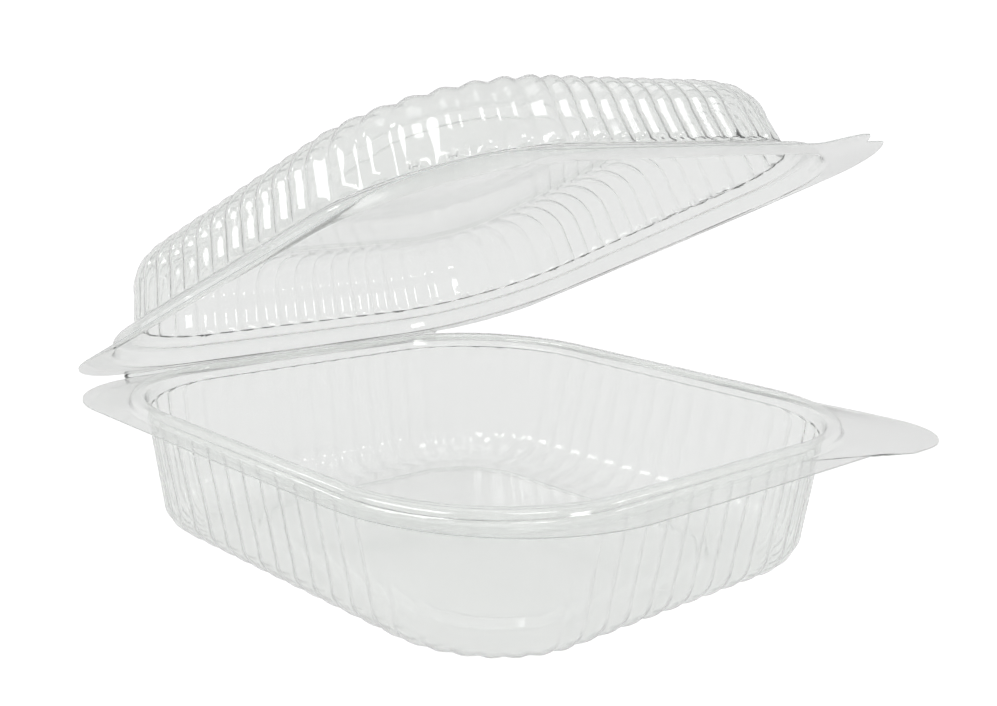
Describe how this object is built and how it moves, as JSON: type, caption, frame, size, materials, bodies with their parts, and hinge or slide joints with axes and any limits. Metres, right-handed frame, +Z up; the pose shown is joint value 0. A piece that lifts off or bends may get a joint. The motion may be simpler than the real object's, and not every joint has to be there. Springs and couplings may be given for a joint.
{
  "type": "takeaway meal container",
  "caption": "Clear thermoformed takeaway meal container, shown empty: a fluted tub with a rimmed flange, joined along one side by a living hinge to a fluted domed lid that stands part open.",
  "frame": {"origin": "under the middle of the tub and the part-open lid, on the surface that the tub stands on", "axes": "+X from the hinge to the front edge, +Y along the hinge towards the corner with the opening tabs, +Z up"},
  "size_m": [0.1662, 0.1518, 0.1135],
  "materials": {
    "tub_plastic": "clear glossy polystyrene sheet",
    "lid_plastic": "clear glossy polystyrene sheet",
    "hinge_plastic": "clear glossy polystyrene sheet, creased"
  },
  "bodies": {
    "base": {"tub": "tub_plastic", "hinge_fold": "hinge_plastic"},
    "lid": {"lid": "lid_plastic"}
  },
  "joints": [
    {"name": "lid_hinge", "type": "hinge", "parent": "base", "child": "lid", "pos_m": [-0.08177, -0.00081, 0.03315], "axis": [0, -1, 0], "range_deg": [-24.7, 155]}
  ]
}
